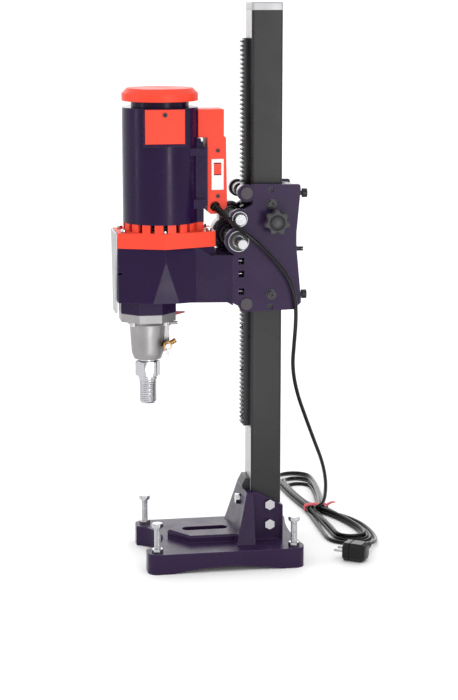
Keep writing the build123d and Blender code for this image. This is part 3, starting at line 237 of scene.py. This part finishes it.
def skin(rings, closed_ends=True):
    """Faces between rings of equal length, with a cap on each end."""
    count = len(rings[0])
    verts = [point for ring in rings for point in ring]
    faces = []
    for row in range(len(rings) - 1):
        low, high = row * count, (row + 1) * count
        for k in range(count):
            step = (k + 1) % count
            faces.append((low + k, low + step, high + step, high + k))
    if closed_ends:
        faces.append(tuple(range(count)))
        faces.append(tuple(range((len(rings) - 1) * count, len(rings) * count)))
    return verts, faces


def join_skins(skins):
    """Several skins as one list of points and one of faces."""
    verts, faces = [], []
    for some_verts, some_faces in skins:
        offset = len(verts)
        verts += some_verts
        faces += [tuple(index + offset for index in face) for face in some_faces]
    return verts, faces


def circle_z(centre, z, radius, sides):
    """A ring about an upright axis through centre."""
    return [centre + Vector((radius * cos(2 * pi * k / sides), radius * sin(2 * pi * k / sides), z))
            for k in range(sides)]


def circle_x(centre, x, radius, sides):
    """A ring about an axis along X through centre."""
    return [centre + Vector((x, radius * cos(2 * pi * k / sides), radius * sin(2 * pi * k / sides)))
            for k in range(sides)]


def place_on(piece, node):
    """The piece stands for a CAD node and moves with its body."""
    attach(piece, BODY_OF[node])
    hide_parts(node)
    return piece


def soften(node, width, angle=38.0):
    """A copy of a CAD node whose sharp edges are rounded, as on a painted casting or a moulding."""
    mesh = NODES[node].data.copy()
    mesh.name = "soft_" + node
    work = bmesh.new()
    work.from_mesh(mesh)
    bmesh.ops.remove_doubles(work, verts=work.verts, dist=1e-5)
    bmesh.ops.dissolve_limit(work, angle_limit=radians(0.6), verts=work.verts, edges=work.edges)
    work.to_mesh(mesh)
    work.free()
    mesh.polygons.foreach_set("use_smooth", [True] * len(mesh.polygons))
    piece = bpy.data.objects.new("soft_" + node, mesh)
    bpy.context.scene.collection.objects.link(piece)
    bevel = piece.modifiers.new("rounding", "BEVEL")
    bevel.width = width
    bevel.segments = 2
    bevel.limit_method = "ANGLE"
    bevel.angle_limit = radians(angle)
    bevel.use_clamp_overlap = True
    shading = piece.modifiers.new("flat_faces", "WEIGHTED_NORMAL")
    shading.weight = 100
    shading.keep_sharp = True
    return place_on(piece, node)


# ---- cord, with its hank, tie, plug and strain relief --------------------------------------------
CORD_R, CORD_LENGTH = 0.0035, 5.48
CORD_ROUTE = [
    (0.056, 0.0264, 0.6258), (0.074, 0.0385, 0.614), (0.074, 0.0709, 0.5897), (0.0685, 0.0994, 0.5615),
    (0.0635, 0.1297, 0.526), (0.0605, 0.145, 0.4894), (0.06, 0.1475, 0.4495), (0.054, 0.1455, 0.403),
    (0.042, 0.1445, 0.356), (0.025, 0.1565, 0.305), (0.002, 0.178, 0.2525), (-0.028, 0.202, 0.198),
    (-0.062, 0.225, 0.149), (-0.095, 0.2395, 0.105), (-0.129, 0.247, 0.067), (-0.164, 0.251, 0.04),
    (-0.199, 0.251, 0.0235),
]
TIE_X, TIE_Y = -0.232, 0.251
TURNS = 5
LOW, HIGH = 0.0037, 0.0107          # heights of a cord on the floor and of one lying on two others
LANE = 0.0036                       # half the distance between two cords side by side in the tie
BACK_MIDDLE, BACK_TIP, BACK_HALF = 0.253, -0.430, 0.0245
FRONT_LEFT = (0.256, 0.2525, 0.2485, 0.233)
FRONT_RIGHT = (0.304, 0.3075, 0.311, 0.3165)
FRONT_TIP = (-0.042, -0.031, -0.022, -0.006)
TO_PLUG = [
    (-0.181, 0.298, LOW), (-0.147, 0.313, LOW), (-0.109, 0.3225, LOW), (-0.058, 0.3255, LOW),
    (-0.018, 0.3205, 0.0045), (0.010, 0.3085, 0.009), (0.0316, 0.2937, 0.012), (0.041, 0.2871, 0.012),
]


def lobe(out_from, back_to, out_y, back_y, tip_x, height):
    """Points of one loop of the hank, from the tie out to its tip and back into the tie."""
    middle, half = (out_y + back_y) / 2, (back_y - out_y) / 2
    way = copysign(1.0, tip_x - TIE_X)
    centre = tip_x - way * abs(half)
    legs = {}
    for (y0, z0), y1 in ((out_from, out_y), (back_to, back_y)):
        legs[y1] = []
        for share in (0.2, 0.48, 0.8):
            spread, drop = sin(share * pi / 2), min(1.0, share * 2)
            legs[y1].append((TIE_X + (centre - TIE_X) * share, y0 + (y1 - y0) * spread,
                             z0 + (height - z0) * drop))
    turn = []
    for step in range(7):
        angle = radians(-90 + 30 * step)
        turn.append((centre + way * abs(half) * cos(angle), middle + half * sin(angle), height))
    return legs[out_y] + turn + legs[back_y][::-1]


def through_tie(y, z, way):
    """The two points of one pass through the tie, with way 1 towards the plug and -1 away from it."""
    return [(TIE_X - way * 0.009, y, z), (TIE_X + way * 0.009, y, z)]


def hank_points():
    """Five turns, each through the tie, round a back loop, through the tie and round a front loop."""
    points = [(-0.216, TIE_Y, 0.0165)]
    for turn in range(TURNS):
        level = HIGH if turn % 2 else LOW
        into = (TIE_Y, HIGH) if turn == 0 else (TIE_Y - LANE * (turn + 1), level)
        back = (TIE_Y + LANE * (turn + 1), level)
        half = BACK_HALF + 0.0037 * turn
        points += through_tie(*into, -1)
        points += lobe(into, back, BACK_MIDDLE - half, BACK_MIDDLE + half, BACK_TIP - 0.0205 * turn, level)
        points += through_tie(*back, 1)
        if turn < TURNS - 1:
            after = (TIE_Y - LANE * (turn + 2), LOW if turn % 2 else HIGH)
            lobe_height = 0.0098 if turn == 1 else LOW
            points += lobe(back, after, FRONT_RIGHT[turn], FRONT_LEFT[turn], FRONT_TIP[turn], lobe_height)
    return points + TO_PLUG


def spline_points(points):
    """Points read from the smooth NURBS line that has these control points."""
    data = bpy.data.curves.new("cord_line", "CURVE")
    data.dimensions = "3D"
    line = data.splines.new("NURBS")
    line.points.add(len(points) - 1)
    for point, place in zip(line.points, points):
        point.co = (*place, 1.0)
    line.order_u = 3
    line.use_endpoint_u = True
    line.resolution_u = 8
    curve = bpy.data.objects.new("cord_line", data)
    bpy.context.scene.collection.objects.link(curve)
    bpy.context.view_layer.update()
    mesh = bpy.data.meshes.new_from_object(curve)
    path = [vertex.co.copy() for vertex in mesh.vertices]
    bpy.data.objects.remove(curve)
    bpy.data.curves.remove(data)
    bpy.data.meshes.remove(mesh)
    return path


def along(path, radii, sides=14):
    """Rings round a path, turned as little as possible from one to the next."""
    rings = []
    across = None
    for k, point in enumerate(path):
        way = (path[min(k + 1, len(path) - 1)] - path[max(k - 1, 0)]).normalized()
        if across is None:
            across = way.orthogonal().normalized()
        across = (across - way * across.dot(way)).normalized()
        other = way.cross(across)
        radius = radii[k] if isinstance(radii, list) else radii
        rings.append([point + (across * cos(2 * pi * s / sides) + other * sin(2 * pi * s / sides)) * radius
                      for s in range(sides)])
    return skin(rings)


def make_plug():
    """Angled mains plug: a chamfered body with a grip, a ribbed boot and two pins."""
    place = Matrix.Translation(Vector((0.084, 0.257, 0))) @ Matrix.Rotation(radians(55), 4, "Z")

    def box_ring(x, half_y, low, high, cut):
        """The outline of the body at x, with its four corners cut off."""
        return [Vector((x, y, z)) for y, z in (
            (-half_y + cut, low), (half_y - cut, low), (half_y, low + cut), (half_y, high - cut),
            (half_y - cut, high), (-half_y + cut, high), (-half_y, high - cut), (-half_y, low + cut))]

    full, groove = (0.018, 0.0005, 0.034, 0.007), (0.0168, 0.0017, 0.0328, 0.007)
    body = skin([box_ring(-0.021, 0.0165, 0.002, 0.0325, 0.006), box_ring(-0.0195, *full),
                 box_ring(-0.010, *full), box_ring(-0.0085, *groove), box_ring(-0.007, *full),
                 box_ring(0.014, *full), box_ring(0.0205, 0.0125, 0.005, 0.029, 0.005),
                 box_ring(0.021, 0.011, 0.0065, 0.0275, 0.005)])
    boot = []
    ribs = 7
    for rib in range(ribs):
        start = 0.016 + 0.048 * rib / ribs
        radius = 0.0105 - 0.0042 * rib / ribs
        for offset, scale in ((0.0, 1.0), (0.0042, 0.97), (0.0046, 0.84), (0.0065, 0.83)):
            boot.append((start + offset, radius * scale))
    boot.append((0.064, 0.0056))
    rings = [[Vector((reach * cos(2 * pi * s / 24), y, 0.012 + reach * sin(2 * pi * s / 24)))
              for s in range(24)] for y, reach in boot]
    pin = ((-0.040, 0.0012), (-0.039, 0.0022), (-0.037, 0.0024), (-0.0205, 0.0024))
    pins = [skin([circle_x(Vector((0, y, 0.017)), x, radius, 20) for x, radius in pin])
            for y in (-0.0095, 0.0095)]
    black = join_skins([body, skin(rings)])
    plug = add_piece("plug_body", [place @ v for v in black[0]], black[1], "black_rubber", sharp=30)
    metal = join_skins(pins)
    tips = add_piece("plug_pins", [place @ v for v in metal[0]], metal[1], "chrome")
    place_on(plug, "mains_plug")
    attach(tips, "stand")
    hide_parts("mains_plug")
    return plug, tips


def make_tie():
    """A rubber band round the hank's waist, with its loose end standing out."""
    half_y, low, high, thick = 0.0238, 0.00005, 0.0172, 0.0013

    mid_z, half_z = (low + high) / 2, (high - low) / 2

    def loop(grow, x):
        """One edge of the band, a rounded rectangle round the hank, grown outwards by grow."""
        ring = []
        for k in range(48):
            angle = 2 * pi * k / 48
            c, s = cos(angle), sin(angle)
            ring.append(Vector((x, TIE_Y + copysign(abs(c) ** 0.55, c) * (half_y + grow - thick),
                                mid_z + copysign(abs(s) ** 0.55, s) * (half_z + grow - thick))))
        return ring

    rings = [loop(0, TIE_X - 0.0075), loop(thick * 0.7, TIE_X - 0.0082), loop(thick, TIE_X - 0.0066),
             loop(thick, TIE_X + 0.0066), loop(thick * 0.7, TIE_X + 0.0082), loop(0, TIE_X + 0.0075)]
    verts, faces = skin(rings + [rings[0]], closed_ends=False)
    tail_y = TIE_Y + half_y - 0.002
    tail = []
    for k in range(9):
        share = k / 8
        y = tail_y + 0.017 * share
        z = 0.0125 + 0.0055 * sin(share * pi * 0.62)
        half = 0.0055 - 0.002 * share
        tail.append([Vector((TIE_X + dx, y, z + dz))
                     for dx, dz in ((-half, 0), (half, 0), (half, 0.0011), (-half, 0.0011))])
    parts = join_skins([(verts, faces), skin(tail)])
    tie = add_piece("cord_tie", *parts, "red_tie", sharp=50)
    work = bmesh.new()
    work.from_mesh(tie.data)
    bmesh.ops.remove_doubles(work, verts=work.verts, dist=1e-6)
    work.to_mesh(tie.data)
    work.free()
    return place_on(tie, "hank_tie")


def make_relief(path_start):
    """Ribbed, tapered sleeve from the switch box to where the cord runs free."""
    start = Vector((0.0238, 0.0065, 0.6467))
    way = path_start - start
    count = 41
    path, radii = [], []
    for k in range(count):
        share = k / (count - 1)
        path.append(start + way * share)
        ribbed = 0.0008 if (k % 5) in (0, 1) and 0.18 < share < 0.95 else 0.0
        collar = 0.0022 if share < 0.12 else 0.0
        radii.append(0.0068 - 0.0022 * share + collar - ribbed)
    relief = add_piece("cord_relief", *along(path, radii, sides=24), "black_rubber", sharp=40)
    return place_on(relief, "strain_relief")


def make_cord():
    """The whole cord as one tube, with its plug, tie and strain relief."""
    path = spline_points(CORD_ROUTE + hank_points())
    cord = add_piece("mains_cord", *along(path, CORD_R), "black_rubber", sharp=60)
    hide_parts("power_cord", "cord_hank")
    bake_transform(cord)
    plug, tips = make_plug()
    pieces = [plug, tips, make_tie(), make_relief(path[0])]


make_cord()


# ---- stand --------------------------------------------------------------------------------------
def threaded_rings(centre, major, depth, pitch, low, high, lead, sides=40, steps=6):
    """Rings of a helical thread from low to high, with the crests turned down over each end."""
    rings = []
    count = int((high - low) / pitch * steps)
    for row in range(count + 1):
        z = low + (high - low) * row / count
        fade = min(1.0, (high - z) / lead)
        ring = []
        for k in range(sides):
            phase = ((z - low) / pitch - k / sides) % 1.0
            cut = depth * abs(2 * phase - 1) * fade
            chamfer = max(0.0, 1.5 * depth - (z - low))
            reach = major - max(cut, chamfer)
            angle = 2 * pi * k / sides
            ring.append(centre + Vector((reach * cos(angle), reach * sin(angle), z)))
        rings.append(ring)
    return rings


def hex_ring(centre, across_flats, z, turn, limit, sides=48):
    """One outline of a hexagon, with its corners cut to a circle of radius limit, as on a turned head."""
    ring = []
    for k in range(sides):
        angle = 2 * pi * k / sides
        local = (angle - turn) % (pi / 3) - pi / 6
        reach = min(across_flats / 2 / cos(local), limit)
        ring.append(centre + Vector((reach * cos(angle), reach * sin(angle), z)))
    return ring


def make_levelling_bolt(node):
    """Threaded shank with a chamfered hexagonal head."""
    low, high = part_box(node)
    centre = Vector(((low.x + high.x) / 2, (low.y + high.y) / 2, 0))
    bottom, top = low.z, high.z
    head = top - 0.0075
    shank = skin(threaded_rings(centre, 0.006, 0.00095, 0.00175, bottom, head, 0.004, sides=32, steps=5))
    flats, turn = 0.018, radians(15)
    rounded = [hex_ring(centre, flats, z, turn, limit=limit)
               for z, limit in ((head - 0.0002, 0.0088), (head + 0.0004, 0.0096), (head + 0.0012, 0.0104),
                                (top - 0.0016, 0.0104), (top - 0.0007, 0.0096), (top, 0.0084))]
    bolt = add_piece("turned_" + node, *join_skins([shank, skin(rounded)]), "chrome", sharp=32)
    return place_on(bolt, node)


def painted_reflection_strip(material, front_y, half_width, low, high):
    """Paints a light grey band on the column's front face above and below the rack, a painted reflection on
    the glossy paint.
    """
    nodes, links = material.node_tree.nodes, material.node_tree.links
    shader = nodes["Principled BSDF"]
    place = nodes.new("ShaderNodeTexCoord")
    axes = nodes.new("ShaderNodeSeparateXYZ")
    links.new(place.outputs["Object"], axes.inputs["Vector"])

    def test(operation, first, second=0.0):
        node = nodes.new("ShaderNodeMath")
        node.operation = operation
        links.new(first, node.inputs[0])
        if isinstance(second, float):
            node.inputs[1].default_value = second
        else:
            links.new(second, node.inputs[1])
        return node.outputs["Value"]

    narrow = test("LESS_THAN", test("ABSOLUTE", axes.outputs["X"]), half_width)
    front = test("LESS_THAN", axes.outputs["Y"], front_y + 0.0006)
    outside = test("MAXIMUM", test("GREATER_THAN", axes.outputs["Z"], high),
                   test("LESS_THAN", axes.outputs["Z"], low))
    mask = test("MULTIPLY", test("MULTIPLY", narrow, front), outside)
    # The mid grey mixed in here is a painted reflection.
    mix = nodes.new("ShaderNodeMix")
    mix.data_type = "RGBA"
    mix.inputs["B"].default_value = (0.5, 0.5, 0.5, 1)
    links.new(shader.inputs["Base Color"].links[0].from_socket, mix.inputs["A"])
    links.new(mask, mix.inputs["Factor"])
    links.new(mix.outputs["Result"], shader.inputs["Base Color"])


for number in range(1, 5):
    make_levelling_bolt(f"levelling_bolt_{number}")
rack_low, rack_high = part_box("gear_rack")
column_low, column_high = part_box("column_tube")
# Painted reflection: a light grey band on the column's front face above and below the rack.
painted_reflection_strip(FINISH["black_paint"], column_low.y, 0.0285, rack_low.z, rack_high.z)
soften("base_casting", 0.002)
soften("column_cap", 0.0008)
soften("column_wedge", 0.0008)
soften("levelling_nuts", 0.0006)
soften("column_bolts", 0.0006)


# ---- carriage -----------------------------------------------------------------------------------
def make_knob():
    """Star knob with seven rounded lobes, a hub behind it and a low dome in its middle."""
    low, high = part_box("lock_knob")
    centre = Vector((0, (low.y + high.y) / 2, (low.z + high.z) / 2))
    lobes, middle, swing, sides = 7, 0.0210, 0.0027, 126
    angles = [2 * pi * k / sides for k in range(sides)]

    def reach(angle, weight):
        """How far out the outline is at an angle, as a share of its radius."""
        wave = cos(lobes * (angle - pi / 2))
        return 1.0 + weight * swing / middle * copysign(abs(wave) ** 0.85, wave)

    # Distance along the axis, radius, and how much of the lobes shows there.
    rows = [(0.0600, 0.0096, 0), (0.0608, 0.0108, 0), (0.0632, 0.0110, 0), (0.0640, 0.0150, 0.3),
            (0.0643, 0.0178, 0.9), (0.0655, 0.0200, 1), (0.0675, 0.0207, 1), (0.0775, 0.0207, 1),
            (0.0797, 0.0200, 1), (0.0812, 0.0184, 0.95), (0.0819, 0.0160, 0.6), (0.0814, 0.0140, 0.2),
            (0.0796, 0.0128, 0), (0.0790, 0.0116, 0), (0.0798, 0.0108, 0), (0.0822, 0.0100, 0),
            (0.0840, 0.0082, 0), (0.0848, 0.0055, 0), (0.0850, 0.0028, 0)]
    rings = [[centre + Vector((x, radius * reach(angle, weight) * cos(angle),
                               radius * reach(angle, weight) * sin(angle))) for angle in angles]
             for x, radius, weight in rows]
    knob = add_piece("star_knob", *skin(rings), "black_plastic", sharp=40)
    return place_on(knob, "lock_knob")


def make_ring(profile, centre, sides=56):
    """A turned ring about an axis along X, from a closed outline of (x, radius) pairs."""
    verts = [point for x, radius in profile for point in circle_x(centre, x, radius, sides)]
    faces = []
    for row in range(len(profile)):
        here, after = row * sides, (row + 1) % len(profile) * sides
        for k in range(sides):
            step = (k + 1) % sides
            faces.append((here + k, here + step, after + step, after + k))
    return verts, faces


# Outer and inner radius, Y and Z of the lower and the upper shaft's bearings.
SHAFT_BEARINGS = ((0.019, 0.00925, 0.04515, 0.5864), (0.014, 0.00805, 0.04719, 0.62535))


def make_shaft_bearings():
    """Ball bearings in both cheeks: ground outer and inner races with a dark seal between them."""
    races, seals = [], []
    for outer, inner, y, z in SHAFT_BEARINGS:
        outer_race = ((0.040, outer), (0.0510, outer), (0.0515, outer - 0.0005), (0.0515, outer - 0.0017),
                      (0.0505, outer - 0.0022), (0.040, outer - 0.0022))
        inner_race = ((0.040, inner + 0.0017), (0.0502, inner + 0.0017), (0.0506, inner + 0.0012),
                      (0.0506, inner + 0.0003), (0.0502, inner), (0.040, inner))
        seal = ((0.041, outer - 0.0021), (0.0492, outer - 0.0021), (0.0490, outer - 0.0030),
                (0.0490, inner + 0.0024), (0.0493, inner + 0.0016), (0.041, inner + 0.0016))
        for side in (-1, 1):
            for profile, pieces in ((outer_race, races), (inner_race, races), (seal, seals)):
                pieces.append(make_ring([(side * x, radius) for x, radius in profile], Vector((0, y, z))))
    place_on(add_piece("bearing_races", *join_skins(races), "steel"), "shaft_bearings")
    place_on(add_piece("bearing_seals", *join_skins(seals), "black_plastic"), "shaft_bearings")


make_knob()
make_shaft_bearings()
for node, width in (("carriage_casting", 0.0011), ("feed_gear_case", 0.0012), ("guide_screws", 0.0005),
                    ("roller_pins", 0.0006), ("arm_bolts", 0.0006)):
    soften(node, width)


# ---- gearbox, spindle and valve -------------------------------------------------------------------
THREAD_R, THREAD_DEPTH, THREAD_PITCH = 0.015875, 0.0015, 0.00363


def make_spindle():
    """Threaded nose with a rounded end, wrench hexagon with turned corners, and a shank."""
    low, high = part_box("spindle")
    centre = Vector(((low.x + high.x) / 2, (low.y + high.y) / 2, 0))
    start, sides = low.z, 72
    nose = [circle_z(centre, z, radius, sides)
            for z, radius in ((start + 0.014, 0.0050), (start + 0.0004, 0.0050), (start, 0.0056),
                              (start, 0.0122), (start + 0.0005, 0.0131), (start + 0.0019, 0.0137))]
    thread = threaded_rings(centre, THREAD_R, THREAD_DEPTH, THREAD_PITCH, start + 0.002, 0.334, 0.006,
                            sides=sides, steps=8)
    neck = [circle_z(centre, z, radius, sides)
            for z, radius in ((0.3350, 0.0162), (0.3356, 0.0170), (0.3410, 0.0170))]
    hexagon = [hex_ring(centre, 0.041, z, radians(32), limit, sides=sides)
               for z, limit in ((0.3411, 0.0198), (0.3418, 0.0212), (0.3430, 0.0224), (0.3672, 0.0224),
                                (0.3684, 0.0212), (0.3690, 0.0198))]
    shank = [circle_z(centre, z, radius, sides)
             for z, radius in ((0.3691, 0.0170), (0.3779, 0.0170), (0.3781, 0.0140), (high.z, 0.0140))]
    rings = nose + thread + neck + hexagon + shank
    spindle = add_piece("threaded_spindle", *skin(rings), "chrome", sharp=28)
    return place_on(spindle, "spindle")


make_spindle()
soften("gearbox_housing", 0.0016, angle=15.0)
for node, width in (("front_cover", 0.0008), ("spindle_housing", 0.0009),
                    ("gearbox_bolts", 0.0004), ("water_valve", 0.0003), ("valve_lever", 0.0004),
                    ("depth_pointer", 0.0005), ("stop_bolt", 0.0003)):
    soften(node, width)


# ---- motor and switch box -------------------------------------------------------------------------
for node, width in (("motor_flange", 0.0012), ("motor_casing", 0.0016), ("motor_cap", 0.0015),
                    ("brush_covers", 0.0008), ("switch_box", 0.0015), ("switch_plate", 0.0006),
                    ("switch_rocker", 0.0006), ("small_screws", 0.0003), ("motor_end_bell", 0.001)):
    soften(node, width)


# ---- floor and light ------------------------------------------------------------------------------
def make_floor():
    """A pale floor that reaches far enough to have no visible edge."""
    mesh = bpy.data.meshes.new("floor")
    half = 160.0
    corners = [(-half, -half, 0), (half, -half, 0), (half, half, 0), (-half, half, 0)]
    mesh.from_pydata(corners, [], [(0, 1, 2, 3)])
    floor = bpy.data.objects.new("floor", mesh)
    bpy.context.scene.collection.objects.link(floor)
    material = bpy.data.materials.new("pale_floor")
    material.use_nodes = True
    shader = material.node_tree.nodes["Principled BSDF"]
    shader.inputs["Base Color"].default_value = (0.97, 0.97, 0.97, 1)
    shader.inputs["Roughness"].default_value = 0.75
    shader.inputs["Specular IOR Level"].default_value = 0.2
    mesh.materials.append(material)


def add_light(name, place, target, size, power):
    data = bpy.data.lights.new(name, "AREA")
    data.shape = "RECTANGLE"
    data.size, data.size_y = size
    data.energy = power
    light = bpy.data.objects.new(name, data)
    bpy.context.scene.collection.objects.link(light)
    light.matrix_world = aimed(Vector(place), Vector(target) - Vector(place))


def make_world(horizon, zenith, back):
    """An even studio dome, brighter overhead and brightest low down behind the rig."""
    world = bpy.data.worlds.new("studio")
    world.use_nodes = True
    nodes, links = world.node_tree.nodes, world.node_tree.links
    place = nodes.new("ShaderNodeTexCoord")
    axes = nodes.new("ShaderNodeSeparateXYZ")
    links.new(place.outputs["Generated"], axes.inputs["Vector"])
    height = nodes.new("ShaderNodeMapRange")
    height.inputs["To Min"].default_value = horizon
    height.inputs["To Max"].default_value = zenith
    links.new(axes.outputs["Z"], height.inputs["Value"])
    behind = nodes.new("ShaderNodeMapRange")
    behind.inputs["From Min"].default_value = -0.75
    behind.inputs["From Max"].default_value = -0.95
    behind.inputs["To Max"].default_value = back
    links.new(axes.outputs["X"], behind.inputs["Value"])
    total = nodes.new("ShaderNodeMath")
    total.operation = "ADD"
    links.new(height.outputs["Result"], total.inputs[0])
    links.new(behind.outputs["Result"], total.inputs[1])
    links.new(total.outputs["Value"], nodes["Background"].inputs["Strength"])
    nodes["Background"].inputs["Color"].default_value = (1, 1, 1, 1)
    bpy.context.scene.world = world


make_floor()
make_world(0.45, 1.5, 1.6)
add_light("strip", (3.42, 1.20, 0.70), (0, -0.09, 0.62), (0.55, 1.3), 26)
add_light("front", (0.4, -3.0, 1.0), (0, 0, 0.6), (0.30, 1.5), 9)
add_light("floor_card", (1.35, 0.10, 0.012), (1.349, 0.10, 1.0), (0.5, 0.6), 7)
bpy.context.scene.view_settings.view_transform = "Standard"
bpy.context.scene.view_settings.look = "None"
